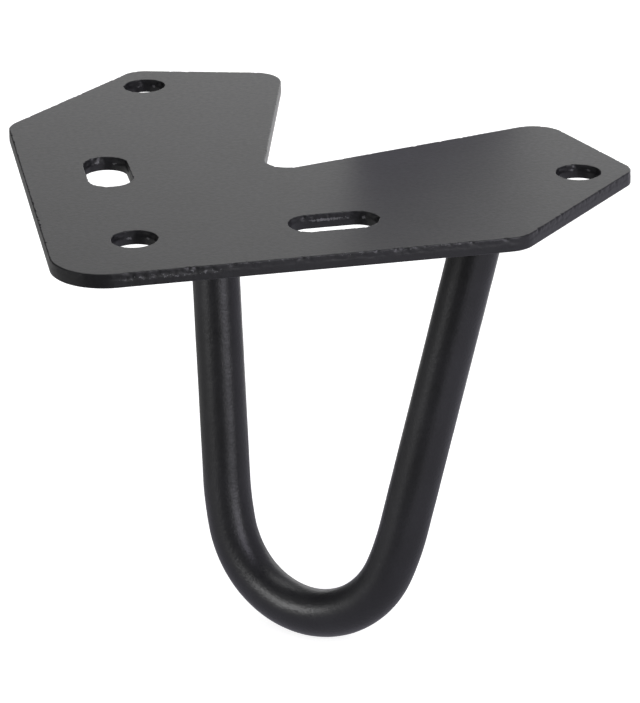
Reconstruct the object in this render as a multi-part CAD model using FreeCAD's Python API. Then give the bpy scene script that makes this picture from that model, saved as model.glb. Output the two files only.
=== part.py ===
"""Short hairpin furniture leg: a bent round bar welded under an L-shaped screw plate.

Millimetres. The origin is the centre of the corner screw hole on the plate's top face,
which is the face that lies against the table. The plate's two arms run along +X and +Y,
and the bar hangs below it, in a plane that leans outward, towards the plate's corner.
"""

import FreeCAD
import Part
import math
import os

from FreeCAD import Vector

# Mounting plate, sheet steel. Places on it are measured from its two outer edges.
plate_span = 110.5             # corner of the L to the tip of each arm, both taken sharp
plate_thickness = 2.65
end_chamfer = 28.5             # 45 degree cut across the outer corner of each arm's end
end_slant = 16.8               # degrees that an arm's end edge turns in from square
notch_inset = 43.4             # outer edges to the inner corner of the L
notch_slant = 14.3             # degrees that an arm's inner edge opens from parallel
corner_radius = 10.4           # outer corner of the L
chamfer_root_radius = 5.9      # where an outer edge meets its chamfer
chamfer_tip_radius = 4.5       # where a chamfer meets the end edge
arm_tip_radius = 6.3           # where an end edge meets the inner edge
notch_radius = 4.5             # inner corner of the L
rim_break = 0.3                # blunted rim of the cut sheet
hole_rim_break = 0.15          # blunted rims of the holes and slots

# Screw holes
hole_diameter = 8.0
hole_inset = 15.6              # corner hole and both slots, from the outer edges
arm_hole_from_tip = 10.6       # hole near each arm's end: back from the arm's tip,
arm_hole_across = 29.4         # and across the arm from its outer edge
slot_length = 16.1             # end to end, along the arm
slot_width = 8.05
slot_along = 51.1              # slot's centre, along the arm

# Hairpin bar, round steel bent in one plane
bar_diameter = 9.65
overall_height = 101.4         # plate's top face to the foot of the bend
bar_end_from_tip = 23.85       # centre of the bar's end under each arm: back from the tip,
bar_end_across = 40.1          # and across the arm from its outer edge
plane_lean = 10.85             # degrees that the bar's plane leans outward
foot_radius = 20.0             # centreline radius of the bend at the foot
shoulder_radius = 56.5         # centreline radius where each leg eases into that bend
shoulder_turn = 9.8            # degrees that each shoulder turns

# Fillet weld round each end of the bar
weld_leg = 3.0                 # reach along the plate, and down the bar
weld_toe = 0.35                # thickness left at the weld's lower edge
weld_bulge = 0.35              # how far the bead's face swells past straight
weld_bands = 4                 # bands that make the rounded face of the bead

# Worked out from the sizes above
bar_radius = bar_diameter / 2
cutting_length = 2 * bar_diameter
bar_end_along = plate_span - bar_end_from_tip
bar_half_spread = (bar_end_along - bar_end_across) / math.sqrt(2)
inward = Vector(1, 1, 0).normalize()
across = Vector(1, -1, 0).normalize()


def on_plate(along, aside, z=0.0):
    """A point given from the plate's outer edges, in the part's own frame."""
    return Vector(along - hole_inset, aside - hole_inset, z)


def mirrored(point):
    """The same point on the other arm."""
    return Vector(point.y, point.x, point.z)


def meeting_point(point_a, angle_a, point_b, angle_b):
    """Where two lines in the plate's plane cross, each a point and an angle in degrees."""
    a = Vector(math.cos(math.radians(angle_a)), math.sin(math.radians(angle_a)), 0)
    b = Vector(math.cos(math.radians(angle_b)), math.sin(math.radians(angle_b)), 0)
    gap = point_b - point_a
    reach = (gap.x * b.y - gap.y * b.x) / (a.x * b.y - a.y * b.x)
    return point_a + a * reach


def rounded_outline(corners):
    """A closed wire through the corners, each of them (point, radius), with tangent arcs."""
    edges = []
    starts = []
    ends = []
    for i, (corner, radius) in enumerate(corners):
        to_last = (corners[i - 1][0] - corner).normalize()
        to_next = (corners[(i + 1) % len(corners)][0] - corner).normalize()
        half_angle = to_last.getAngle(to_next) / 2
        tangent_length = radius / math.tan(half_angle)
        bisector = (to_last + to_next).normalize()
        centre_distance = radius / math.sin(half_angle)
        start = corner + to_last * tangent_length
        middle = corner + bisector * (centre_distance - radius)
        end = corner + to_next * tangent_length
        edges.append(Part.Arc(start, middle, end).toShape())
        starts.append(start)
        ends.append(end)
    for i, end in enumerate(ends):
        edges.append(Part.makeLine(end, starts[(i + 1) % len(starts)]))
    return Part.Wire(Part.__sortEdges__(edges))


def plate_outline():
    """Outline of the L: one arm's corners, then the same corners mirrored."""
    corner = on_plate(0, 0)
    chamfer_root = on_plate(plate_span - end_chamfer, 0)
    chamfer_tip = on_plate(plate_span, end_chamfer)
    notch = on_plate(notch_inset, notch_inset)
    arm_tip = meeting_point(chamfer_tip, 90 + end_slant, notch, notch_slant)
    one_arm = [
        (chamfer_root, chamfer_root_radius),
        (chamfer_tip, chamfer_tip_radius),
        (arm_tip, arm_tip_radius),
    ]
    other_arm = [(mirrored(point), radius) for point, radius in reversed(one_arm)]
    return rounded_outline([(corner, corner_radius)] + one_arm + [(notch, notch_radius)] + other_arm)


def through_sheet(outline):
    """The solid that an outline on the top face makes, pushed down through the sheet."""
    return Part.Face(outline).extrude(Vector(0, 0, -plate_thickness))


def round_hole(centre):
    """A round screw hole's outline."""
    circle = Part.Circle(centre, Vector(0, 0, 1), hole_diameter / 2).toShape()
    return Part.Wire([circle])


def slot(centre, direction):
    """A slot's outline, round at both ends, with its length along the direction."""
    side = Vector(0, 0, 1).cross(direction) * (slot_width / 2)
    half_straight = direction * ((slot_length - slot_width) / 2)
    half_length = direction * (slot_length / 2)
    far = centre + half_straight
    near = centre - half_straight
    return Part.Wire([
        Part.makeLine(near - side, far - side),
        Part.Arc(far - side, centre + half_length, far + side).toShape(),
        Part.makeLine(far + side, near + side),
        Part.Arc(near + side, centre - half_length, near - side).toShape(),
    ])


def rim_edges(plate, outer):
    """Edges of the plate's two flat faces: its outer rims, or else the rims of its holes."""
    edges = []
    for face in plate.Faces:
        if abs(face.normalAt(0, 0).z) < 0.99 or not isinstance(face.Surface, Part.Plane):
            continue
        for wire in face.Wires:
            if wire.isSame(face.OuterWire) == outer:
                edges.extend(wire.Edges)
    return edges


def mounting_plate():
    """The L-shaped plate, with its screw holes and slots and its rims blunted."""
    arm_hole = on_plate(plate_span - arm_hole_from_tip, arm_hole_across)
    slot_centre = on_plate(slot_along, hole_inset)
    openings = [
        round_hole(on_plate(hole_inset, hole_inset)),
        round_hole(arm_hole),
        round_hole(mirrored(arm_hole)),
        slot(slot_centre, Vector(1, 0, 0)),
        slot(mirrored(slot_centre), Vector(0, 1, 0)),
    ]
    plate = through_sheet(plate_outline()).cut([through_sheet(opening) for opening in openings])
    plate = plate.makeChamfer(rim_break, rim_edges(plate, outer=True))
    return plate.makeChamfer(hole_rim_break, rim_edges(plate, outer=False))


def in_bar_plane(sideways, depth):
    """A point in the bar's leaning plane, from the middle of its two ends."""
    setback = (bar_end_along + bar_end_across) / 2
    middle = on_plate(setback, setback, -plate_thickness)
    return middle + across * sideways + way_down() * depth


def way_down():
    """The steepest way down the bar's plane."""
    lean = math.radians(plane_lean)
    return Vector(0, 0, -math.cos(lean)) - inward * math.sin(lean)


def foot_centre_depth():
    """Depth of the foot bend's centre, down the bar's plane."""
    drop = overall_height - plate_thickness - bar_radius
    return drop / math.cos(math.radians(plane_lean)) - foot_radius


def leg_slope():
    """Angle of each leg from the way down, so that it meets its shoulder without a kink."""
    depth = foot_centre_depth()
    aside = shoulder_radius - (shoulder_radius - foot_radius) * math.cos(math.radians(shoulder_turn))
    reach = math.sqrt(bar_half_spread ** 2 + depth ** 2 - aside ** 2)
    return math.atan2(bar_half_spread, depth) - math.atan2(aside, reach)


def arc_in_bar_plane(centre, radius, first, last):
    """An arc of the bar's centreline. Its angles are from the way down, towards +X."""
    sideways, depth = centre
    angles = [first, (first + last) / 2, last]
    return Part.Arc(*[
        in_bar_plane(sideways + radius * math.sin(angle), depth + radius * math.cos(angle))
        for angle in angles
    ]).toShape()


def bar_path():
    """Centreline of the bar: leg, shoulder, foot bend, shoulder, leg."""
    slope = leg_slope()
    leg_angle = math.pi / 2 - slope
    foot_angle = leg_angle - math.radians(shoulder_turn)
    radius_step = shoulder_radius - foot_radius
    depth = foot_centre_depth()
    shoulder_sideways = -radius_step * math.sin(foot_angle)
    shoulder_depth = depth - radius_step * math.cos(foot_angle)
    right_shoulder = arc_in_bar_plane(
        (shoulder_sideways, shoulder_depth), shoulder_radius, leg_angle, foot_angle)
    foot = arc_in_bar_plane((0, depth), foot_radius, foot_angle, -foot_angle)
    left_shoulder = arc_in_bar_plane(
        (-shoulder_sideways, shoulder_depth), shoulder_radius, -foot_angle, -leg_angle)
    # Each leg runs on above the plate's underside, to be cut flush with it.
    top_sideways = bar_half_spread + cutting_length * math.sin(slope)
    top_depth = -cutting_length * math.cos(slope)
    right_leg = Part.makeLine(
        in_bar_plane(top_sideways, top_depth), right_shoulder.firstVertex().Point)
    left_leg = Part.makeLine(
        left_shoulder.lastVertex().Point, in_bar_plane(-top_sideways, top_depth))
    return Part.Wire([right_leg, right_shoulder, foot, left_shoulder, left_leg])


def hairpin_bar():
    """The bent bar, its two ends cut flush with the plate's underside."""
    path = bar_path()
    top = path.Edges[0].firstVertex().Point
    section = Part.Circle(top, right_leg_direction(), bar_radius).toShape()
    bar = path.makePipeShell([Part.Wire([section])], True, False)
    return bar.cut(space_above_underside())


def space_above_underside():
    """A block that takes in whatever stands above the plate's underside."""
    size = 2 * (plate_span + cutting_length)
    corner = Vector(-size / 2, -size / 2, -plate_thickness)
    return Part.makeBox(size, size, size, corner)


def right_leg_direction():
    """The way down the leg that hangs from the +X arm."""
    slope = leg_slope()
    return way_down() * math.cos(slope) - across * math.sin(slope)


def weld_bead(bar):
    """The ring of weld metal in the corner between the bar's right end and the plate."""
    end_centre = in_bar_plane(bar_half_spread, 0)
    direction = right_leg_direction()
    steepness = -direction.z
    slip = Vector(direction.x, direction.y, 0).normalize()
    sections = []
    for step in range(weld_bands + 1):
        share = step / weld_bands
        spread = weld_leg + (weld_toe - weld_leg) * share + weld_bulge * math.sin(math.pi * share)
        centre = end_centre + direction * (weld_leg * share / steepness)
        far = centre + slip * (bar_radius / steepness + spread)
        aside = centre + Vector(0, 0, 1).cross(slip) * (bar_radius + spread)
        sections.append(Part.Wire([Part.Ellipse(far, aside, centre).toShape()]))
    return Part.makeLoft(sections, True, True).cut(bar)


def main():
    os.makedirs("parts", exist_ok=True)
    bar = hairpin_bar()
    right_bead = weld_bead(bar)
    nodes = {
        "mounting_plate": mounting_plate(),
        "hairpin_bar": bar,
        "weld_bead_right": right_bead,
        "weld_bead_left": right_bead.mirror(Vector(0, 0, 0), across),
    }
    for name, shape in nodes.items():
        shape.exportStep("parts/" + name + ".step")
        print(name, "solids:", len(shape.Solids), "valid:", shape.isValid(), "mm3:", round(shape.Volume))


main()
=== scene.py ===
"""Looks of a short hairpin furniture leg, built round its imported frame.

The plate, the bar and the two weld beads are modelled again with soft rims, a hand-made
bead and a powder coat, in the same place and at the same size as the frame's solids.
"""

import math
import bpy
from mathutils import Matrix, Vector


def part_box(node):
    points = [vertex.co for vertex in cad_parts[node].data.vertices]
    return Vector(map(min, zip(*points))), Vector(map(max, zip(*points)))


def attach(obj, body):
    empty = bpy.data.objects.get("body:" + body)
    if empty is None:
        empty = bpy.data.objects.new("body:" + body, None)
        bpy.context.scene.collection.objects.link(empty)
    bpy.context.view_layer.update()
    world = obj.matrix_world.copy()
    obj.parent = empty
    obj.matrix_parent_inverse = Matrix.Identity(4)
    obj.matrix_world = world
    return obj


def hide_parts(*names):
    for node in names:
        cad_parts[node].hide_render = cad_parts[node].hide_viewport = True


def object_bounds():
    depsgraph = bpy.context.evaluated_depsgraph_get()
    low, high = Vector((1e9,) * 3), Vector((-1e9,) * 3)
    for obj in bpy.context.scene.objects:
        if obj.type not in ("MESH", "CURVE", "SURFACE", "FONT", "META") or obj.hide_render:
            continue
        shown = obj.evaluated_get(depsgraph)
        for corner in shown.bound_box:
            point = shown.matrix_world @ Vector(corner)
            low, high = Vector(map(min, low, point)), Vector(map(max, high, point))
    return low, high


bl_info = {
    "name": "Hairpin Leg",
    "version": (1, 0, 0),
    "blender": (4, 5, 0),
    "location": "3D View > Sidebar > Hairpin Leg",
    "description": "Powder-coated hairpin leg: plate, bent bar, weld beads and a studio",
    "category": "Add Mesh",
}

import bmesh
import bpy
from bpy.props import FloatProperty, FloatVectorProperty, IntProperty, PointerProperty
from mathutils import Matrix, Vector, noise

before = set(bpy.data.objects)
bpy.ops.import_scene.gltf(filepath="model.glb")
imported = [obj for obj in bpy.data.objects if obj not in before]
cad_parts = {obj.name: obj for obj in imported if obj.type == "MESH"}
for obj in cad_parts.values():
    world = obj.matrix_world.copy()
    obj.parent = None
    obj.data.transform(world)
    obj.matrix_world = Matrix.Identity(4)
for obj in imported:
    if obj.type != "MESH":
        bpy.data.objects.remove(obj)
FRAME_LOW, FRAME_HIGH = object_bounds()
PLATE_LOW, PLATE_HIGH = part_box("mounting_plate")

MM = 0.001
BODY = "root"
PHOTO_HEIGHT_PX = 703
SENSOR_MM = 36
UP = Vector((0, 0, 1))
INWARD = Vector((1, 1, 0)).normalized()
ACROSS = Vector((1, -1, 0)).normalized()

# How finely the meshes are divided, and how near two points are that count as one.
OUTLINE_STEP = 0.3 * MM
OPENING_STEP = 0.25 * MM
BAR_STEP = 0.8 * MM
BAR_SEGMENTS = 80
RIPPLE_SEGMENTS = 7
SAME_POINT = 0.001 * MM

# The cut wall of the sheet: how far the ridge under its torn part wanders and over what
# distance, the width of the ridge's step, and the sizes of its roughness and its nicks.
RIDGE_WANDER = 0.35 * MM
RIDGE_PITCH = 2.2 * MM
RIDGE_STEP = 0.35 * MM
ROUGH_PITCH = 0.9 * MM
NICK_PITCH = 0.8 * MM
NICK_REACH = 0.7 * MM
# The nicks come where a noise rises over this level. The shift keeps its pattern from
# falling in with that of the roughness.
NICK_START = 0.2
NICK_SHIFT = Vector((0, 0, 7))
# The width of one lump in the bar's uneven surface.
LUMP_PITCH = 5 * MM

# Knocks in the top rim: x, y, reach and depth, in mm.
RIM_KNOCKS = (
    (39.9, -15.6, 0.5, 0.22), (54.6, -15.6, 0.4, 0.15), (66.9, -15.1, 0.4, 0.12),
    (-0.5, 43.5, 0.8, 0.25), (84.7, 17.8, 0.5, 0.2),
)
# Where the outer wall is torn more: x, y, reach in mm, and how many times more.
ROUGH_STRETCHES = ((4, -15.6, 8, 2.0),)
# Where the sheet's coat is worn, and where glints are painted in grey on its cut walls: centre
# and half sizes in mm, and how scattered each patch is, from 0 for a solid patch to 1 for a few
# specks.
WEAR_AND_GLINT_SPOTS = (
    # Knocks in the front rim and worn specks along it, and a painted glint: grey specks along
    # the ridge of the wall under it.
    ((39.9, -15.5, -0.15), (0.45, 0.3, 0.3), 0),
    ((54.6, -15.5, -0.15), (0.4, 0.3, 0.25), 0),
    ((66.9, -15.0, -0.15), (0.35, 0.3, 0.25), 0),
    # Painted glints along the torn ridge of the front wall.
    ((4.3, -15.6, -1.05), (9.3, 0.4, 0.5), 0.88),
    # Painted glints in the slot and the round holes: grey patches on the ridge mid-way down
    # their far walls.
    ((-1.1, 43.5, -1.0), (0.7, 0.5, 0.35), 0), ((2.1, 43.0, -1.3), (0.5, 0.5, 0.3), 0),
    ((-0.4, 4.0, -1.4), (0.6, 0.5, 0.4), 0), ((2.7, 3.1, -1.3), (0.6, 0.6, 0.4), 0),
    ((13.2, 88.3, -1.4), (0.5, 0.5, 0.35), 0), ((16.2, 87.6, -1.3), (0.5, 0.6, 0.35), 0),
    ((84.1, 17.9, -1.0), (0.6, 0.5, 0.3), 0), ((87.1, 16.8, -0.9), (0.5, 0.6, 0.3), 0),
    ((35.0, 4.1, -1.15), (5.0, 0.4, 0.35), 0), ((41.8, 3.5, -1.2), (0.7, 0.6, 0.35), 0),
    ((38.0, -15.6, -0.2), (26.0, 0.5, 0.3), 0.98),
)

# Beads: side, seed of the ripples, and what takes the right-hand bead there.
BEADS = (
    ("right", 3, Matrix()),
    ("left", 8, Matrix(((0, 1, 0, 0), (1, 0, 0, 0), (0, 0, 1, 0), (0, 0, 0, 1)))),
)

# The pattern of the powder coat: blotches where it is thinner, fine grit under it and how
# high that stands beside the orange peel, and how far the gloss varies from dimple to dimple.
CLOUD_PITCH = 11 * MM
GRIT_PITCH = 0.45 * MM
GRIT_SHARE = 0.45
GLOSS_SPREAD = 0.03
# The ragged edge of a worn spot or a painted glint, and how far beyond the spot it is looked
# for, in half sizes.
WEAR_AND_GLINT_PITCH = 0.45 * MM
WEAR_AND_GLINT_REACH = 2.0

# The studio is laid out round this point. Azimuths are in degrees, from the camera's side
# of the object towards +X.
MIDDLE = Vector((0.035, 0.035, 0))
CAMERA_SIDE = math.radians(-100.6)
LAMP_AIM = Vector((0.035, 0.035, -0.05))
LAMP_DISTANCE = 0.85
OVERHEAD_PLACE = (0.02, 0.32, 0.9)
# The white sweep: which way its height leans, how bright it is at each height, and its
# strength as light and in gloss.
SWEEP_LEAN = (-0.3, 0, 1)
SWEEP_ENDS = ((0, 1.0), (1, 0.22))
SWEEP_CURVE = ((0.04, 1.0), (0.16, 0.98), (0.22, 0.86), (0.27, 0.62), (0.31, 0.43),
               (0.4, 0.3), (0.6, 0.24))
SWEEP_AS_LIGHT = 1.2
SWEEP_IN_GLOSS = 1.55
# The floor: how far it reaches each way in m, and the glow that makes it as white.
FLOOR_REACH = 4
FLOOR_GLOW = 0.77
FLOOR_GLOW_IN_GLOSS = 0.7
# Cloths stand or lie this far over the floor, so that their faces don't fight it.
CLOTH_LIFT = 1 * MM
# Hung cloths: name, azimuths of their edges, distance and height in m, and colour.
HUNG_CLOTHS = (
    ("cloth_round_camera", (-50, 10), 0.9, 1.9, "6c6c6c"),
    ("cloth_left", (-165, -80), 1.1, 0.9, "606060"),
    ("cloth_right", (62, 140), 1.1, 0.9, "aca9b6"),
)
# Cloths on the floor: name, azimuths, nearest and furthest distance in m, and colour.
FLOOR_CLOTHS = (
    ("cloth_on_floor", (-50, 10), 0.12, 0.9, "6c6c6c"),
    ("cloth_on_floor_left", (-165, -110, -52), 0.1, 1.1, "acacac"),
    ("cloth_on_floor_right", (12, 70, 135), 0.1, 1.1, "cccad5"),
)
# The round cloth under the foot: its radius in m and its colour.
FOOT_CLOTH_RADIUS = 0.11
FOOT_CLOTH = "b7b5c0"
# The card behind the right arm: the two ends of its foot, its height in m and its colour.
ARM_CARD_FEET = ((0.054, 0.072), (0.104, 0.130))
ARM_CARD_TOP = 0.032
ARM_CARD = "a6a4b0"


def srgb(code):
    """Linear colour of an sRGB hex code such as 1e1e20."""
    parts = [int(code[i:i + 2], 16) / 255 for i in (0, 2, 4)]
    return [c / 12.92 if c <= 0.04045 else ((c + 0.055) / 1.055) ** 2.4 for c in parts]


def length(name, description, default_mm):
    """A size in the panel, given here in millimetres."""
    return FloatProperty(name=name, description=description, default=default_mm * MM,
                         min=0.0, unit="LENGTH", precision=5)


def angle(name, description, default_degrees):
    """An angle in the panel, given here in degrees."""
    return FloatProperty(name=name, description=description, subtype="ANGLE",
                         default=math.radians(default_degrees))


def colour(name, description, code):
    """A colour in the panel, given here as an sRGB hex code."""
    return FloatVectorProperty(name=name, description=description, subtype="COLOR",
                               size=3, min=0.0, max=1.0, default=srgb(code))


class HairpinPlateSizes(bpy.types.PropertyGroup):
    """Sizes of the L-shaped screw plate, from its outer edges"""

    span: length("Span", "Corner of the L to the tip of each arm, both taken sharp", 110.5)
    thickness: FloatProperty(name="Thickness", description="Sheet thickness with its coat",
                             default=PLATE_HIGH.z - PLATE_LOW.z, unit="LENGTH", precision=5)
    end_chamfer: length("End chamfer", "45 degree cut across the outer corner of an arm", 28.5)
    end_slant: angle("End slant", "How far an arm's end edge turns in from square", 16.8)
    notch_inset: length("Notch inset", "Outer edges to the inner corner of the L", 43.4)
    notch_slant: angle("Notch slant", "How far an arm's inner edge opens from parallel", 14.3)
    corner_radius: length("Corner radius", "Outer corner of the L", 10.4)
    root_radius: length("Chamfer root radius", "Where an outer edge meets its chamfer", 5.9)
    tip_radius: length("Chamfer tip radius", "Where a chamfer meets the end edge", 4.5)
    arm_radius: length("Arm tip radius", "Where an end edge meets the inner edge", 6.3)
    notch_radius: length("Notch radius", "Inner corner of the L", 4.5)
    hole_diameter: length("Hole diameter", "Round screw holes", 8.0)
    hole_inset: length("Hole inset", "Corner hole and slots, from the outer edges", 15.6)
    arm_hole_from_tip: length("Arm hole from tip", "Hole near an arm's end, from the tip", 10.6)
    arm_hole_across: length("Arm hole across", "The same hole, across the arm", 29.4)
    slot_length: length("Slot length", "End to end, along the arm", 16.1)
    slot_width: length("Slot width", "Across the arm", 8.05)
    slot_along: length("Slot along", "Centre of a slot, along its arm", 51.1)
    rim_radius: length("Rim radius", "Softened rim of the cut sheet", 0.22)
    hole_rim_radius: length("Hole rim radius", "Softened rims of the holes and slots", 0.15)
    torn_height: length("Torn height", "Top face to the ridge under a wall's torn part", 1.15)
    edge_tear: length("Edge tear", "How deep the outer walls are torn above their ridge", 0.08)
    rim_nicks: length("Rim nicks", "Depth of the deepest small nicks in the top rim", 0.3)
    hole_tear: length("Hole tear", "The same, in the holes and slots", 0.15)


class HairpinBarSizes(bpy.types.PropertyGroup):
    """Sizes of the bent round bar"""

    diameter: length("Diameter", "Round bar with its coat", 9.65)
    end_from_tip: length("End from tip", "Centre of the bar's end, from the arm's tip", 23.85)
    end_across: length("End across", "The same point, across the arm", 40.1)
    plane_lean: angle("Plane lean", "How far the bar's plane leans outward", 10.85)
    foot_radius: length("Foot radius", "Centreline radius of the bend at the foot", 20.0)
    shoulder_radius: length("Shoulder radius", "Radius where a leg eases into the bend", 56.5)
    shoulder_turn: angle("Shoulder turn", "How far each shoulder turns", 9.8)
    waver: length("Waver", "How far the bar and its coat depart from round", 0.04)


class HairpinWeldSizes(bpy.types.PropertyGroup):
    """Sizes of the fillet weld round each end of the bar"""

    leg: length("Leg", "Reach along the plate and down the bar", 3.0)
    bulge: length("Bulge", "How far the bead's face swells past straight", 0.4)
    ripples: IntProperty(name="Ripples", description="Ripples round the bead",
                         default=34, min=3)
    ripple_depth: length("Ripple depth", "Height of one ripple under the coat", 0.24)


class HairpinCoat(bpy.types.PropertyGroup):
    """The black powder coat on every piece"""

    base: colour("Coat", "Black of the coat in most places", "131315")
    cloudy: colour("Thin coat", "Black of the coat where it is thinner", "1a1a1d")
    # This grey paints glints on the ridges of the cut walls, as well as worn coat on the rims.
    worn_and_glint: colour("Worn coat", "Grey primer where the coat is worn or drawn thin", "626264")
    roughness: FloatProperty(name="Roughness", description="Roughness of the satin face",
                             default=0.36, min=0.0, max=1.0, subtype="FACTOR")
    peel_pitch: length("Peel pitch", "Width of one dimple of the orange peel", 0.9)
    peel_height: length("Peel height", "Depth of the orange peel on the flat sheet", 0.016)
    bar_peel_height: length("Bar peel height", "Depth of the orange peel on the bar", 0.044)


class HairpinStudio(bpy.types.PropertyGroup):
    """Floor and camera"""

    floor: colour("Floor", "Pale floor", "cccccc")
    yaw: angle("Camera yaw", "Turn of the camera from +Y towards +X", 10.941)
    pitch: angle("Camera pitch", "How far the camera looks down", 23.506)
    roll: angle("Camera roll", "Turn of the picture about its middle", -1.1165)
    place: FloatVectorProperty(
        name="Camera place", description="Where the camera stands", subtype="TRANSLATION",
        default=(-56.354 * MM, -460.105 * MM, 179.001 * MM), precision=5)
    focal_px: FloatProperty(name="Focal length", default=2839.97,
                            description="Focal length in pixels of the photograph")


# Helpers for meshes


def new_piece(name, bm, material, replaced):
    """Makes an object of the mesh, gives it its finish and puts it in the frame."""
    bmesh.ops.remove_doubles(bm, verts=bm.verts, dist=SAME_POINT)
    bmesh.ops.recalc_face_normals(bm, faces=bm.faces)
    mesh = bpy.data.meshes.new(name)
    bm.to_mesh(mesh)
    bm.free()
    mesh.materials.append(material)
    piece = bpy.data.objects.new(name, mesh)
    bpy.context.scene.collection.objects.link(piece)
    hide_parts(replaced)
    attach(piece, BODY)


def of_kind(items, kind):
    """Those of a bmesh operator's results that are vertices, edges or faces."""
    return [item for item in items if isinstance(item, kind)]


def steps_for(distance, step, fewest=1):
    """How many steps of about this size a distance takes."""
    return max(fewest, round(distance / step))


def mirrored(point):
    """The same point on the other arm."""
    return Vector((point.y, point.x, point.z))


def meeting_point(point_a, angle_a, point_b, angle_b):
    """Where two lines in the plate's plane cross, each a point and an angle."""
    a = Vector((math.cos(angle_a), math.sin(angle_a), 0))
    b = Vector((math.cos(angle_b), math.sin(angle_b), 0))
    gap = point_b - point_a
    return point_a + a * ((gap.x * b.y - gap.y * b.x) / (a.x * b.y - a.y * b.x))


def rounded_loop(bm, corners, step):
    """A closed loop of edges round (corner, radius) pairs, with a tangent arc at each.

    Where two arcs meet, as in the round end of a slot, the doubled vertex is merged.
    """
    before = set(bm.edges)
    ends = []
    for i, (corner, radius) in enumerate(corners):
        to_last = (corners[i - 1][0] - corner).normalized()
        to_next = (corners[(i + 1) % len(corners)][0] - corner).normalized()
        half_angle = to_last.angle(to_next) / 2
        centre = corner + (to_last + to_next).normalized() * (radius / math.sin(half_angle))
        turn = math.copysign(math.pi - 2 * half_angle, -to_last.cross(to_next).z)
        first = bm.verts.new(corner + to_last * (radius / math.tan(half_angle)))
        arc_steps = steps_for(radius * abs(turn), step, fewest=8)
        last = swing(bm, first, centre, turn, (0, 0, 0), arc_steps)
        ends.append((first, last))
    for i, (first, last) in enumerate(ends):
        following = ends[(i + 1) % len(ends)][0]
        steps = steps_for((following.co - last.co).length, step)
        if steps > 1:
            last = swing(bm, last, last.co, 0, (following.co - last.co) / steps, steps - 1)
        bm.edges.new((last, following))
    drawn = dict.fromkeys(
        vert for edge in bm.edges if edge not in before for vert in edge.verts)
    bmesh.ops.remove_doubles(bm, verts=list(drawn), dist=5 * SAME_POINT)
    return [edge for edge in bm.edges if edge not in before]


def swing(bm, vert, centre, turn, stride, steps):
    """Draws a vertex round a centre, or along by strides. Returns the last one made."""
    spun = bmesh.ops.spin(bm, geom=[vert], cent=centre, axis=UP, dvec=stride, angle=turn,
                          steps=steps, use_merge=False, use_duplicate=False)
    return of_kind(spun["geom_last"], bmesh.types.BMVert)[0]


# Mounting plate


def on_plate(sizes, along, aside):
    """A point on the plate's top face, given from its outer edges."""
    return Vector((along - sizes.hole_inset, aside - sizes.hole_inset, 0))


def rounded_box(centre, width, depth):
    """Corners of a box whose shorter sides are half circles."""
    radius = min(width, depth) / 2
    signs = [(-1, -1), (1, -1), (1, 1), (-1, 1)]
    return [(centre + Vector((x * width / 2, y * depth / 2, 0)), radius) for x, y in signs]


def plate_outline(sizes):
    """Corners of the L: one arm's, then the same mirrored, each with its radius."""
    chamfer_root = on_plate(sizes, sizes.span - sizes.end_chamfer, 0)
    chamfer_tip = on_plate(sizes, sizes.span, sizes.end_chamfer)
    notch = on_plate(sizes, sizes.notch_inset, sizes.notch_inset)
    arm_tip = meeting_point(chamfer_tip, math.pi / 2 + sizes.end_slant, notch, sizes.notch_slant)
    one_arm = [(chamfer_root, sizes.root_radius), (chamfer_tip, sizes.tip_radius),
               (arm_tip, sizes.arm_radius)]
    other_arm = [(mirrored(point), radius) for point, radius in reversed(one_arm)]
    corner = [(on_plate(sizes, 0, 0), sizes.corner_radius)]
    return corner + one_arm + [(notch, sizes.notch_radius)] + other_arm


def plate_openings(sizes):
    """Corners of the three round holes and the two slots, each with its radius."""
    corner_hole = on_plate(sizes, sizes.hole_inset, sizes.hole_inset)
    arm_hole = on_plate(sizes, sizes.span - sizes.arm_hole_from_tip, sizes.arm_hole_across)
    slot = on_plate(sizes, sizes.slot_along, sizes.hole_inset)
    width = sizes.hole_diameter
    openings = [rounded_box(hole, width, width)
                for hole in (corner_hole, arm_hole, mirrored(arm_hole))]
    openings.append(rounded_box(slot, sizes.slot_length, sizes.slot_width))
    openings.append(rounded_box(mirrored(slot), sizes.slot_width, sizes.slot_length))
    return openings


def wall_levels(rim, thickness, rim_steps=3, wall_steps=12):
    """Inset and height of each line down a cut wall with rounded rims, from the top."""
    quarter = [(rim * (1 - math.sin(turn)), rim * (1 - math.cos(turn)))
               for turn in (math.pi / 2 * i / rim_steps for i in range(rim_steps + 1))]
    upper = [(inset, -drop) for inset, drop in quarter]
    middle = [(0, -rim - (thickness - 2 * rim) * i / wall_steps) for i in range(1, wall_steps)]
    lower = [(inset, drop - thickness) for inset, drop in reversed(quarter)]
    return upper + middle + lower


def knock_depth(point):
    """How deep the knocks in the rim go at a point."""
    deepest = 0
    for x, y, reach, depth in RIM_KNOCKS:
        away = (point - Vector((x, y, 0)) * MM).length / (reach * MM)
        deepest = max(deepest, depth * MM * (1 - away ** 2))
    return deepest


def extra_tear(point):
    """How many times more the wall is torn here than elsewhere."""
    gain = 1
    for x, y, reach, more in ROUGH_STRETCHES:
        if (point - Vector((x * MM, y * MM, point.z))).length < reach * MM:
            gain *= more
    return gain


def torn_depth(point, sizes, tear):
    """How far a sheared wall is torn back at a point: much above its ridge, little below."""
    wander = noise.noise(Vector((point.x, point.y, 0)) / RIDGE_PITCH)
    ridge = sizes.torn_height + RIDGE_WANDER * wander
    above = min(max((point.z + ridge) / RIDGE_STEP + 0.5, 0), 1)
    above = above * above * (3 - 2 * above)
    level = 0.15 + 0.6 * above
    roughness = 0.15 + 0.4 * above
    rough = noise.fractal(point / ROUGH_PITCH, 0.7, 2.0, 3)
    torn = tear * extra_tear(point) * (level + roughness * rough)
    bite = min(2 * max(noise.noise(point / NICK_PITCH + NICK_SHIFT) - NICK_START, 0), 1)
    nick = sizes.rim_nicks * bite * max(1 + point.z / NICK_REACH, 0)
    return max(torn, 0) + knock_depth(point) + nick


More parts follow.
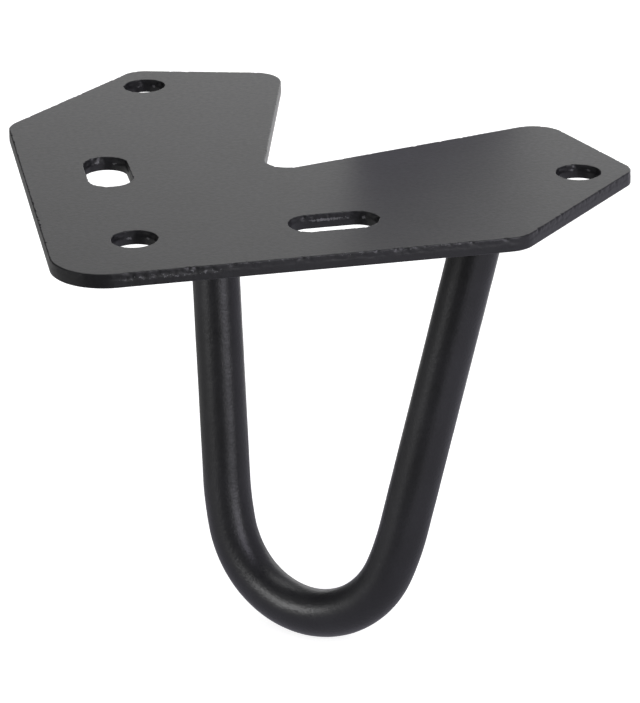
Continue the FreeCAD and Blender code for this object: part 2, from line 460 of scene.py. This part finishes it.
def cut_wall(bm, corners, step, rim, sizes, tear, to_metal):
    """The wall round an outline or an opening. Returns its top and bottom edges.

    The metal lies against the wall's normals (-1) round an outline, along them (1) in an
    opening.
    """
    top = ring = rounded_loop(bm, corners, step)
    levels = wall_levels(rim, sizes.thickness)
    insets = {vert: levels[0][0] for edge in top for vert in edge.verts}
    wall = []
    for (_, above), (inset, height) in zip(levels, levels[1:]):
        pulled = bmesh.ops.extrude_edge_only(bm, edges=ring)["geom"]
        verts = of_kind(pulled, bmesh.types.BMVert)
        bmesh.ops.translate(bm, verts=verts, vec=UP * (height - above))
        insets.update((vert, inset) for vert in verts)
        wall += of_kind(pulled, bmesh.types.BMFace)
        ring = of_kind(pulled, bmesh.types.BMEdge)
    bmesh.ops.recalc_face_normals(bm, faces=wall)
    bm.normal_update()
    for vert, inset in insets.items():
        inset += torn_depth(vert.co, sizes, tear)
        vert.co += vert.normal * (inset * to_metal)
    return top, ring


def plate_mesh(sizes):
    """The plate: walls round the outline and openings, closed by two flat faces."""
    bm = bmesh.new()
    rings = [cut_wall(bm, plate_outline(sizes), OUTLINE_STEP, sizes.rim_radius, sizes,
                      sizes.edge_tear, -1)]
    for opening in plate_openings(sizes):
        rings.append(cut_wall(bm, opening, OPENING_STEP, sizes.hole_rim_radius, sizes,
                              sizes.hole_tear, 1))
    for face in bm.faces:
        face.smooth = True
    for side in (0, 1):
        edges = [edge for ring in rings for edge in ring[side]]
        for cap in bmesh.ops.triangle_fill(bm, edges=edges, use_beauty=True)["geom"]:
            if isinstance(cap, bmesh.types.BMFace):
                cap.smooth = False
    return bm


# Hairpin bar


def in_bar_plane(plate, bar, sideways, depth):
    """A point in the bar's leaning plane, from the middle of its two ends."""
    setback = (plate.span - bar.end_from_tip + bar.end_across) / 2
    middle = on_plate(plate, setback, setback) - UP * plate.thickness
    return middle + ACROSS * sideways + way_down(bar) * depth


def way_down(bar):
    """The steepest way down the bar's plane."""
    return -UP * math.cos(bar.plane_lean) - INWARD * math.sin(bar.plane_lean)


def half_spread(plate, bar):
    """Half the distance between the bar's two ends."""
    return (plate.span - bar.end_from_tip - bar.end_across) / math.sqrt(2)


def foot_centre_depth(plate, bar):
    """Depth of the foot bend's centre, down the bar's plane."""
    drop = -FRAME_LOW.z - plate.thickness - bar.diameter / 2
    return drop / math.cos(bar.plane_lean) - bar.foot_radius


def leg_slope(plate, bar):
    """Angle of each leg from the way down, so that it meets its shoulder without a kink."""
    depth = foot_centre_depth(plate, bar)
    step = bar.shoulder_radius - bar.foot_radius
    aside = bar.shoulder_radius - step * math.cos(bar.shoulder_turn)
    reach = math.sqrt(half_spread(plate, bar) ** 2 + depth ** 2 - aside ** 2)
    return math.atan2(half_spread(plate, bar), depth) - math.atan2(aside, reach)


def right_leg_direction(plate, bar):
    """The way down the leg that hangs from the +X arm."""
    slope = leg_slope(plate, bar)
    return way_down(bar) * math.cos(slope) - ACROSS * math.sin(slope)


def pull(bm, ring, move):
    """Extrudes a ring of edges along a straight run. Returns the ring at its far end."""
    steps = steps_for(move.length, BAR_STEP)
    for _ in range(steps):
        pulled = bmesh.ops.extrude_edge_only(bm, edges=ring)["geom"]
        bmesh.ops.translate(bm, verts=of_kind(pulled, bmesh.types.BMVert), vec=move / steps)
        ring = of_kind(pulled, bmesh.types.BMEdge)
    return ring


def bend(bm, ring, centre, axis, turn, radius):
    """Spins a ring of edges round a bend. Returns the ring at its far end."""
    spun = bmesh.ops.spin(bm, geom=ring, cent=centre, axis=axis, dvec=(0, 0, 0), angle=turn,
                          steps=steps_for(radius * turn, BAR_STEP), use_merge=False,
                          use_duplicate=False)
    return of_kind(spun["geom_last"], bmesh.types.BMEdge)


def cut_at_plate(bm, plate):
    """Cuts the legs off along the plate's underside, and closes them with flat faces."""
    bmesh.ops.bisect_plane(bm, geom=bm.verts[:] + bm.edges[:] + bm.faces[:],
                           dist=SAME_POINT / 10, plane_co=-UP * plate.thickness, plane_no=UP,
                           clear_outer=True)
    rims = [edge for edge in bm.edges if edge.is_boundary]
    for face in bmesh.ops.edgeloop_fill(bm, edges=rims)["faces"]:
        face.smooth = False


def dent(bm, plate, bar):
    """Presses the bar in a little here and there. Its ends stay flat against the plate."""
    bmesh.ops.recalc_face_normals(bm, faces=bm.faces)
    moves = {}
    for vert in bm.verts:
        lumps = 0.5 + 0.5 * noise.fractal(vert.co / LUMP_PITCH, 0.6, 2.0, 2)
        at_end = vert.co.z > -plate.thickness - 10 * SAME_POINT
        way = Vector((vert.normal.x, vert.normal.y, 0)) if at_end else vert.normal
        moves[vert] = way * (bar.waver * min(max(lumps, 0), 1))
    for vert, move in moves.items():
        vert.co -= move


def bar_mesh(plate, bar):
    """The bar: a circle drawn down one leg, round the bends and up the other."""
    leg_angle = math.pi / 2 - leg_slope(plate, bar)
    foot_angle = leg_angle - bar.shoulder_turn
    step = bar.shoulder_radius - bar.foot_radius
    depth = foot_centre_depth(plate, bar)
    sideways = -step * math.sin(foot_angle)
    shoulder_depth = depth - step * math.cos(foot_angle)

    right_down = right_leg_direction(plate, bar)
    left_up = -right_down + ACROSS * 2 * right_down.dot(ACROSS)
    top = in_bar_plane(plate, bar, half_spread(plate, bar), 0) - right_down * bar.diameter
    leg_end = in_bar_plane(
        plate, bar, sideways + bar.shoulder_radius * math.sin(leg_angle),
        shoulder_depth + bar.shoulder_radius * math.cos(leg_angle))
    axis = right_down.cross(-ACROSS).normalized()
    run = (leg_end - top).length

    bm = bmesh.new()
    facing = right_down.to_track_quat("Z", "Y").to_matrix().to_4x4()
    bmesh.ops.create_circle(bm, segments=BAR_SEGMENTS, radius=bar.diameter / 2,
                            matrix=Matrix.Translation(top) @ facing)
    ring = pull(bm, bm.edges[:], right_down * run)
    for aside, down, turn, radius in (
            (sideways, shoulder_depth, bar.shoulder_turn, bar.shoulder_radius),
            (0, depth, 2 * foot_angle, bar.foot_radius),
            (-sideways, shoulder_depth, bar.shoulder_turn, bar.shoulder_radius)):
        ring = bend(bm, ring, in_bar_plane(plate, bar, aside, down), axis, turn, radius)
    pull(bm, ring, left_up * run)
    for face in bm.faces:
        face.smooth = True
    cut_at_plate(bm, plate)
    dent(bm, plate, bar)
    return bm


# Weld beads


def bead_profile(weld, bands=12):
    """A bead's rings, from its hidden back round its face to its back again.

    Each is a share of the way down the leg, the distance out from the bar, and whether the
    weld pool has rippled it. The back and the toe lie inside the bar, so no gap shows.
    """
    inside = -0.3 * MM
    toe = -0.05 * MM
    face = []
    for band in range(bands + 1):
        share = band / bands
        swell = weld.bulge * math.sin(math.pi * share)
        face.append((share, weld.leg + (toe - weld.leg) * share + swell, True))
    return [(0, inside, False)] + face + [(1, inside, False), (0, inside, False)]


def ripple_depth(weld, around, share, seed):
    """How far the weld pool's ripples cut back a bead's face at one spot.

    The ripples bow, wander with the welder's pace and differ in strength, and the bead is
    broader in some places than in others.
    """
    place = Vector((math.cos(2 * math.pi * around), math.sin(2 * math.pi * around), seed))
    pace = 0.5 * noise.noise(place * 2.5)
    bowed = 1.1 * (2 * share - 1) ** 2
    phase = math.pi * (weld.ripples * around + pace + bowed)
    scallop = (1 - abs(math.sin(phase))) * abs(math.sin(math.pi * share)) ** 0.7
    strength = 0.75 + 0.5 * noise.noise(place * 4)
    narrowed = 1.2 * (0.5 + 0.5 * noise.noise(place * 1.7 + UP * share)) * (1 - share)
    return weld.ripple_depth * (scallop * strength + narrowed)


def bead_mesh(plate, bar, weld, seed):
    """The right-hand bead: a ring drawn round the fillet and back to where it began."""
    end_centre = in_bar_plane(plate, bar, half_spread(plate, bar), 0)
    down = right_leg_direction(plate, bar)
    steepness = -down.z
    turned = Matrix.Rotation(math.atan2(down.y, down.x), 3, "Z")
    radius = bar.diameter / 2
    bm = bmesh.new()
    segments = RIPPLE_SEGMENTS * weld.ripples
    made = bmesh.ops.create_circle(bm, segments=segments, radius=1)["verts"]
    spots = {vert: (i / segments, vert.co.copy()) for i, vert in enumerate(made)}
    ring = bm.edges[:]
    for step, (share, spread, rippled) in enumerate(bead_profile(weld)):
        if step > 0:
            pulled = bmesh.ops.extrude_edge_only(bm, edges=ring)["geom"]
            ring = of_kind(pulled, bmesh.types.BMEdge)
            spots = {vert: next(spots[edge.other_vert(vert)] for edge in vert.link_edges
                                if edge.other_vert(vert) in spots)
                     for vert in of_kind(pulled, bmesh.types.BMVert)}
        stretch = Vector((radius / steepness + spread, radius + spread, 0))
        for vert, (around, unit) in spots.items():
            out = turned @ (unit * stretch)
            if rippled:
                out -= out.normalized() * ripple_depth(weld, around, share, seed)
            vert.co = end_centre + down * (weld.leg * share / steepness) + out
    for face in bm.faces:
        face.smooth = True
    return bm


# Materials


def node(tree, kind, inputs, **settings):
    """Adds a node: its own settings, and inputs that are values or outputs to link."""
    made = tree.nodes.new(kind)
    for name, value in settings.items():
        setattr(made, name, value)
    for socket, value in inputs.items():
        if isinstance(value, bpy.types.NodeSocket):
            tree.links.new(value, made.inputs[socket])
        else:
            made.inputs[socket].default_value = value
    return made


def new_tree(name):
    """An empty material, and its node tree."""
    material = bpy.data.materials.new(name)
    material.use_nodes = True
    material.node_tree.nodes.clear()
    return material, material.node_tree


def wear_and_glint_mask(tree, place, spots):
    """Ragged patches where the coat is worn thin, and painted glints on the ridges of the cut
    walls.

    The distance to the nearest spot, in its own half sizes, is set against a rough noise.
    """
    nearest = WEAR_AND_GLINT_REACH
    for centre, half, scatter in spots:
        scale = [1 / (side * MM) for side in half]
        shift = [-c / side for c, side in zip(centre, half)]
        inside = node(tree, "ShaderNodeVectorMath", {0: place, 1: scale, 2: shift},
                      operation="MULTIPLY_ADD").outputs["Vector"]
        away = node(tree, "ShaderNodeVectorMath", {0: inside},
                    operation="LENGTH").outputs["Value"]
        if scatter:
            away = node(tree, "ShaderNodeMath", {0: away, 1: scatter},
                        operation="MAXIMUM").outputs[0]
        nearest = node(tree, "ShaderNodeMath", {0: nearest, 1: away},
                       operation="MINIMUM").outputs[0]
    ragged = node(tree, "ShaderNodeTexNoise", {
        "Vector": place, "Scale": 1 / WEAR_AND_GLINT_PITCH, "Detail": 2.0}).outputs["Fac"]
    edge = node(tree, "ShaderNodeMath", {0: ragged, 1: 2.2, 2: -0.35},
                operation="MULTIPLY_ADD").outputs[0]
    over = node(tree, "ShaderNodeMath", {0: edge, 1: nearest}, operation="SUBTRACT").outputs[0]
    return node(tree, "ShaderNodeMapRange", {
        "Value": over, "From Min": 0.0, "From Max": 0.35}).outputs["Result"]


def powder_coat(name, coat, peel_height, spots=()):
    """Satin black powder coat, baked on over steel.

    The powder flows into a faint orange peel, so the gloss is broad and a little mottled,
    and it draws thin on sharp rims, where grey primer shows. Grey patches on the ridges of the
    rough cuts are painted glints.
    """
    material, tree = new_tree(name)
    place = node(tree, "ShaderNodeTexCoord", {}).outputs["Object"]
    peel = node(tree, "ShaderNodeTexNoise", {
        "Vector": place, "Scale": 1 / coat.peel_pitch, "Detail": 2.0,
        "Roughness": 0.55}).outputs["Fac"]
    clouds = node(tree, "ShaderNodeTexNoise", {
        "Vector": place, "Scale": 1 / CLOUD_PITCH, "Detail": 4.0,
        "Roughness": 0.6}).outputs["Fac"]
    grit = node(tree, "ShaderNodeTexNoise", {
        "Vector": place, "Scale": 1 / GRIT_PITCH, "Detail": 1.0}).outputs["Fac"]
    tone = node(tree, "ShaderNodeMapRange", {
        "Value": clouds, "From Min": 0.35, "From Max": 0.65}).outputs["Result"]
    blacks = node(tree, "ShaderNodeMix", {
        "Factor": tone, "A": (*coat.base, 1), "B": (*coat.cloudy, 1)}, data_type="RGBA")
    shade = blacks.outputs["Result"]
    # Grey worn coat on the rims, and painted glints in grey on the ridges of the cut walls.
    if spots:
        shade = node(tree, "ShaderNodeMix", {
            "Factor": wear_and_glint_mask(tree, place, spots), "A": shade, "B": (*coat.worn_and_glint, 1)},
            data_type="RGBA").outputs["Result"]
    gloss = node(tree, "ShaderNodeMapRange", {
        "Value": peel, "From Min": 0.3, "From Max": 0.7,
        "To Min": coat.roughness - GLOSS_SPREAD,
        "To Max": coat.roughness + GLOSS_SPREAD}).outputs["Result"]
    height = node(tree, "ShaderNodeMath", {0: grit, 1: GRIT_SHARE, 2: peel},
                  operation="MULTIPLY_ADD").outputs[0]
    bumped = node(tree, "ShaderNodeBump", {"Height": height, "Distance": peel_height,
                                           "Strength": 1.0})
    shader = node(tree, "ShaderNodeBsdfPrincipled", {
        "Base Color": shade, "Roughness": gloss, "IOR": 1.5,
        "Normal": bumped.outputs["Normal"]})
    node(tree, "ShaderNodeOutputMaterial", {"Surface": shader.outputs["BSDF"]})
    return material


def mirrored_ray(tree, path):
    """1 where a glossy or a clear surface looks, and 0 elsewhere."""
    return node(tree, "ShaderNodeMath", {
        0: path.outputs["Is Glossy Ray"], 1: path.outputs["Is Transmission Ray"]},
        operation="MAXIMUM").outputs[0]


def paper_floor(studio):
    """Matt white paper: it throws light back evenly, and keeps the object's shadow.

    It glows to the camera and in gloss, so that it shows white there.
    """
    material, tree = new_tree("matt_paper_floor")
    path = node(tree, "ShaderNodeLightPath", {})
    paper = node(tree, "ShaderNodeBsdfDiffuse", {"Color": (*studio.floor, 1)})
    in_gloss = node(tree, "ShaderNodeMath", {
        0: mirrored_ray(tree, path), 1: FLOOR_GLOW_IN_GLOSS}, operation="MULTIPLY").outputs[0]
    glow = node(tree, "ShaderNodeMath", {
        0: path.outputs["Is Camera Ray"], 1: FLOOR_GLOW, 2: in_gloss},
        operation="MULTIPLY_ADD").outputs[0]
    light = node(tree, "ShaderNodeEmission", {"Strength": glow})
    both = node(tree, "ShaderNodeAddShader", {0: paper.outputs[0], 1: light.outputs[0]})
    node(tree, "ShaderNodeOutputMaterial", {"Surface": both.outputs[0]})
    return material


def studio_cloth(name, code):
    """Evenly lit matt cloth: one flat tone in the gloss of what stands before it."""
    material, tree = new_tree("matt_" + name)
    tone = node(tree, "ShaderNodeEmission", {"Color": (*srgb(code), 1)})
    node(tree, "ShaderNodeOutputMaterial", {"Surface": tone.outputs[0]})
    return material


# Operators


class HAIRPIN_OT_plate(bpy.types.Operator):
    """Build the L-shaped screw plate"""

    bl_idname = "hairpin.plate"
    bl_label = "Build Plate"
    bl_options = {"REGISTER", "UNDO"}

    def execute(self, context):
        coat = context.scene.hairpin_coat
        coated = powder_coat("powder_coat_on_sheet", coat, coat.peel_height, WEAR_AND_GLINT_SPOTS)
        new_piece("screw_plate", plate_mesh(context.scene.hairpin_plate), coated,
                  "mounting_plate")
        return {"FINISHED"}


class HAIRPIN_OT_bar(bpy.types.Operator):
    """Build the bent round bar"""

    bl_idname = "hairpin.bar"
    bl_label = "Build Bar"
    bl_options = {"REGISTER", "UNDO"}

    def execute(self, context):
        scene = context.scene
        coated = powder_coat("powder_coat_on_bar", scene.hairpin_coat,
                             scene.hairpin_coat.bar_peel_height)
        new_piece("bent_bar", bar_mesh(scene.hairpin_plate, scene.hairpin_bar), coated,
                  "hairpin_bar")
        return {"FINISHED"}


class HAIRPIN_OT_welds(bpy.types.Operator):
    """Build the weld bead round each end of the bar"""

    bl_idname = "hairpin.welds"
    bl_label = "Build Welds"
    bl_options = {"REGISTER", "UNDO"}

    def execute(self, context):
        scene = context.scene
        coated = powder_coat("powder_coat_on_weld", scene.hairpin_coat,
                             scene.hairpin_coat.bar_peel_height)
        for side, seed, place in BEADS:
            bm = bead_mesh(scene.hairpin_plate, scene.hairpin_bar, scene.hairpin_weld, seed)
            bmesh.ops.transform(bm, matrix=place, verts=bm.verts)
            new_piece("bead_" + side, bm, coated, "weld_bead_" + side)
        return {"FINISHED"}


class HAIRPIN_OT_studio(bpy.types.Operator):
    """Build the floor, backdrop, lamps, cloths and camera round the finished leg"""

    bl_idname = "hairpin.studio"
    bl_label = "Build Studio"
    bl_options = {"REGISTER", "UNDO"}

    def execute(self, context):
        studio = context.scene.hairpin_studio
        build_floor(studio)
        build_world(context.scene)
        build_lamps(bpy.data.objects["screw_plate"])
        build_cloths()
        build_camera(context.scene, studio)
        return {"FINISHED"}


def new_stage(name, bm, material):
    """Makes a piece of the stage of the mesh."""
    mesh = bpy.data.meshes.new(name)
    bm.to_mesh(mesh)
    bm.free()
    mesh.materials.append(material)
    made = bpy.data.objects.new(name, mesh)
    bpy.context.scene.collection.objects.link(made)
    return made


def build_floor(studio):
    """A wide floor under the foot."""
    bm = bmesh.new()
    bmesh.ops.create_grid(bm, x_segments=1, y_segments=1, size=FLOOR_REACH,
                          matrix=Matrix.Translation(UP * FRAME_LOW.z))
    new_stage("floor", bm, paper_floor(studio))


def build_world(scene):
    """A white sweep that darkens overhead. It lights more plainly than it shows in gloss."""
    world = bpy.data.worlds.new("white_sweep")
    world.use_nodes = True
    tree = world.node_tree
    tree.nodes.clear()
    path = node(tree, "ShaderNodeLightPath", {})
    place = node(tree, "ShaderNodeTexCoord", {}).outputs["Generated"]
    height = node(tree, "ShaderNodeVectorMath", {0: place, 1: SWEEP_LEAN},
                  operation="DOT_PRODUCT").outputs["Value"]
    sweep = node(tree, "ShaderNodeFloatCurve", {"Value": height})
    curve = sweep.mapping.curves[0]
    for point, spot in zip(curve.points, SWEEP_ENDS):
        point.location = spot
    for spot in SWEEP_CURVE:
        curve.points.new(*spot)
    sweep.mapping.update()
    level = node(tree, "ShaderNodeMapRange", {
        "Value": mirrored_ray(tree, path), "To Min": SWEEP_AS_LIGHT,
        "To Max": SWEEP_IN_GLOSS}).outputs["Result"]
    strength = node(tree, "ShaderNodeMath", {0: sweep.outputs[0], 1: level},
                    operation="MULTIPLY").outputs[0]
    seen = node(tree, "ShaderNodeMath", {0: strength, 1: path.outputs["Is Camera Ray"]},
                operation="MAXIMUM")
    white = node(tree, "ShaderNodeBackground", {"Color": (1, 1, 1, 1),
                                                "Strength": seen.outputs[0]})
    node(tree, "ShaderNodeOutputWorld", {"Surface": white.outputs[0]})
    scene.world = world


def softbox(name, place, width, height, brightness, code="ffffff"):
    """A soft lamp at a place, facing the object. Its face is this many times white."""
    data = bpy.data.lights.new(name, "AREA")
    data.shape = "RECTANGLE"
    data.size = width
    data.size_y = height
    data.energy = brightness * math.pi * width * height
    data.color = srgb(code)
    lamp = bpy.data.objects.new(name, data)
    lamp.location = place
    lamp.rotation_mode = "QUATERNION"
    lamp.rotation_quaternion = (LAMP_AIM - Vector(place)).to_track_quat("-Z", "Y")
    lamp.visible_camera = False
    bpy.context.scene.collection.objects.link(lamp)
    return lamp


def keep_off(lamp, piece):
    """Keeps a lamp's light off one piece, as a flag in front of it would."""
    kept = bpy.data.collections.new("kept_off_" + lamp.name)
    kept.objects.link(piece)
    kept.collection_objects[0].light_linking.link_state = "EXCLUDE"
    lamp.light_linking.receiver_collection = kept


def toward(azimuth, elevation=0):
    """The direction from the object at an azimuth and an elevation, in degrees."""
    away = math.radians(azimuth) + CAMERA_SIDE
    rise = math.radians(elevation)
    return Vector((math.cos(rise) * math.cos(away), math.cos(rise) * math.sin(away),
                   math.sin(rise)))


def build_lamps(plate):
    """A big soft lamp overhead, and a smaller, brighter one on each side of the camera.

    The left one would glare off the plate's flat top in low views, so it is kept off it.
    """
    softbox("overhead", OVERHEAD_PLACE, width=0.75, height=0.75, brightness=1.9)
    softbox("right", LAMP_AIM + toward(36, 27) * LAMP_DISTANCE, width=0.33, height=0.66,
            brightness=2.9, code="f0ebff")
    left = softbox("left", LAMP_AIM + toward(-64, 22) * LAMP_DISTANCE, width=0.42, height=0.3,
                   brightness=7.4)
    keep_off(left, plate)


def cloth(name, bm, code):
    """A cloth or card that only the gloss on the object sees, as a studio flag is placed."""
    made = new_stage(name, bm, studio_cloth(name, code))
    made.visible_camera = False
    made.visible_diffuse = False
    made.visible_shadow = False
    made.visible_transmission = False


def line_of(bm, points):
    """Draws an open line of edges through the points. Returns the edges."""
    verts = [bm.verts.new(point) for point in points]
    return [bm.edges.new(pair) for pair in zip(verts, verts[1:])]


def drawn_out(bm, edges):
    """Extrudes a line of edges into faces. Returns the new vertices, still to be moved."""
    pulled = bmesh.ops.extrude_edge_only(bm, edges=edges)["geom"]
    return of_kind(pulled, bmesh.types.BMVert)


def build_cloths():
    """Cloths hung and laid round the object, and a low card behind its right arm."""
    lifted = UP * (FRAME_LOW.z + CLOTH_LIFT)
    for name, azimuths, distance, height, code in HUNG_CLOTHS:
        bm = bmesh.new()
        hem = line_of(bm, [MIDDLE + toward(a) * distance + lifted for a in azimuths])
        bmesh.ops.translate(bm, verts=drawn_out(bm, hem), vec=UP * height - lifted)
        cloth(name, bm, code)
    for name, azimuths, nearest, furthest, code in FLOOR_CLOTHS:
        bm = bmesh.new()
        hem = line_of(bm, [MIDDLE + toward(a) * nearest + lifted for a in azimuths])
        bmesh.ops.scale(bm, verts=drawn_out(bm, hem), vec=Vector((1, 1, 1)) * furthest / nearest,
                        space=Matrix.Translation(-MIDDLE - lifted))
        cloth(name, bm, code)

    bm = bmesh.new()
    under_foot = Matrix.Translation(MIDDLE + lifted - UP * CLOTH_LIFT / 2)
    bmesh.ops.create_circle(bm, cap_ends=True, segments=12, radius=FOOT_CLOTH_RADIUS,
                            matrix=under_foot @ Matrix.Rotation(CAMERA_SIDE, 4, "Z"))
    cloth("cloth_under_foot", bm, FOOT_CLOTH)

    bm = bmesh.new()
    foot = line_of(bm, [Vector((x, y, 0)) + lifted for x, y in ARM_CARD_FEET])
    bmesh.ops.translate(bm, verts=drawn_out(bm, foot), vec=UP * ARM_CARD_TOP - lifted)
    cloth("card_behind_arm", bm, ARM_CARD)


def build_camera(scene, studio):
    """A camera at the photograph's viewpoint."""
    data = bpy.data.cameras.new("camera")
    data.sensor_width = SENSOR_MM
    data.lens = studio.focal_px * SENSOR_MM / PHOTO_HEIGHT_PX
    camera = bpy.data.objects.new("camera", data)
    turn = (Matrix.Rotation(-studio.yaw, 3, "Z")
            @ Matrix.Rotation(math.pi / 2 - studio.pitch, 3, "X")
            @ Matrix.Rotation(studio.roll, 3, "Z"))
    camera.rotation_euler = turn.to_euler()
    camera.location = studio.place
    scene.collection.objects.link(camera)
    scene.camera = camera


class HAIRPIN_PT_panel(bpy.types.Panel):
    """Sizes, finish and steps of the hairpin leg"""

    bl_label = "Hairpin Leg"
    bl_idname = "HAIRPIN_PT_panel"
    bl_space_type = "VIEW_3D"
    bl_region_type = "UI"
    bl_category = "Hairpin Leg"

    def draw(self, context):
        for label, group, operators in PANEL_ROWS:
            box = self.layout.box()
            box.label(text=label)
            settings = getattr(context.scene, group)
            for name in settings.__annotations__:
                box.prop(settings, name)
            for operator in operators:
                box.operator(operator)


PANEL_ROWS = (
    ("Plate", "hairpin_plate", ("hairpin.plate",)),
    ("Bar", "hairpin_bar", ("hairpin.bar",)),
    ("Welds", "hairpin_weld", ("hairpin.welds",)),
    ("Powder coat", "hairpin_coat", ()),
    ("Studio", "hairpin_studio", ("hairpin.studio",)),
)

GROUPS = {
    "hairpin_plate": HairpinPlateSizes,
    "hairpin_bar": HairpinBarSizes,
    "hairpin_weld": HairpinWeldSizes,
    "hairpin_coat": HairpinCoat,
    "hairpin_studio": HairpinStudio,
}

CLASSES = (*GROUPS.values(), HAIRPIN_OT_plate, HAIRPIN_OT_bar, HAIRPIN_OT_welds,
           HAIRPIN_OT_studio, HAIRPIN_PT_panel)


def register():
    """Adds the classes, and their settings to the scene."""
    for cls in CLASSES:
        bpy.utils.register_class(cls)
    for name, group in GROUPS.items():
        setattr(bpy.types.Scene, name, PointerProperty(type=group))


def unregister():
    """Takes the settings and the classes away again."""
    for name in GROUPS:
        delattr(bpy.types.Scene, name)
    for cls in reversed(CLASSES):
        bpy.utils.unregister_class(cls)


def main():
    """Builds the leg and its studio."""
    register()
    bpy.ops.hairpin.plate()
    bpy.ops.hairpin.bar()
    bpy.ops.hairpin.welds()
    bpy.ops.hairpin.studio()
    bpy.context.scene.view_settings.view_transform = "Standard"


if __name__ == "__main__":
    main()
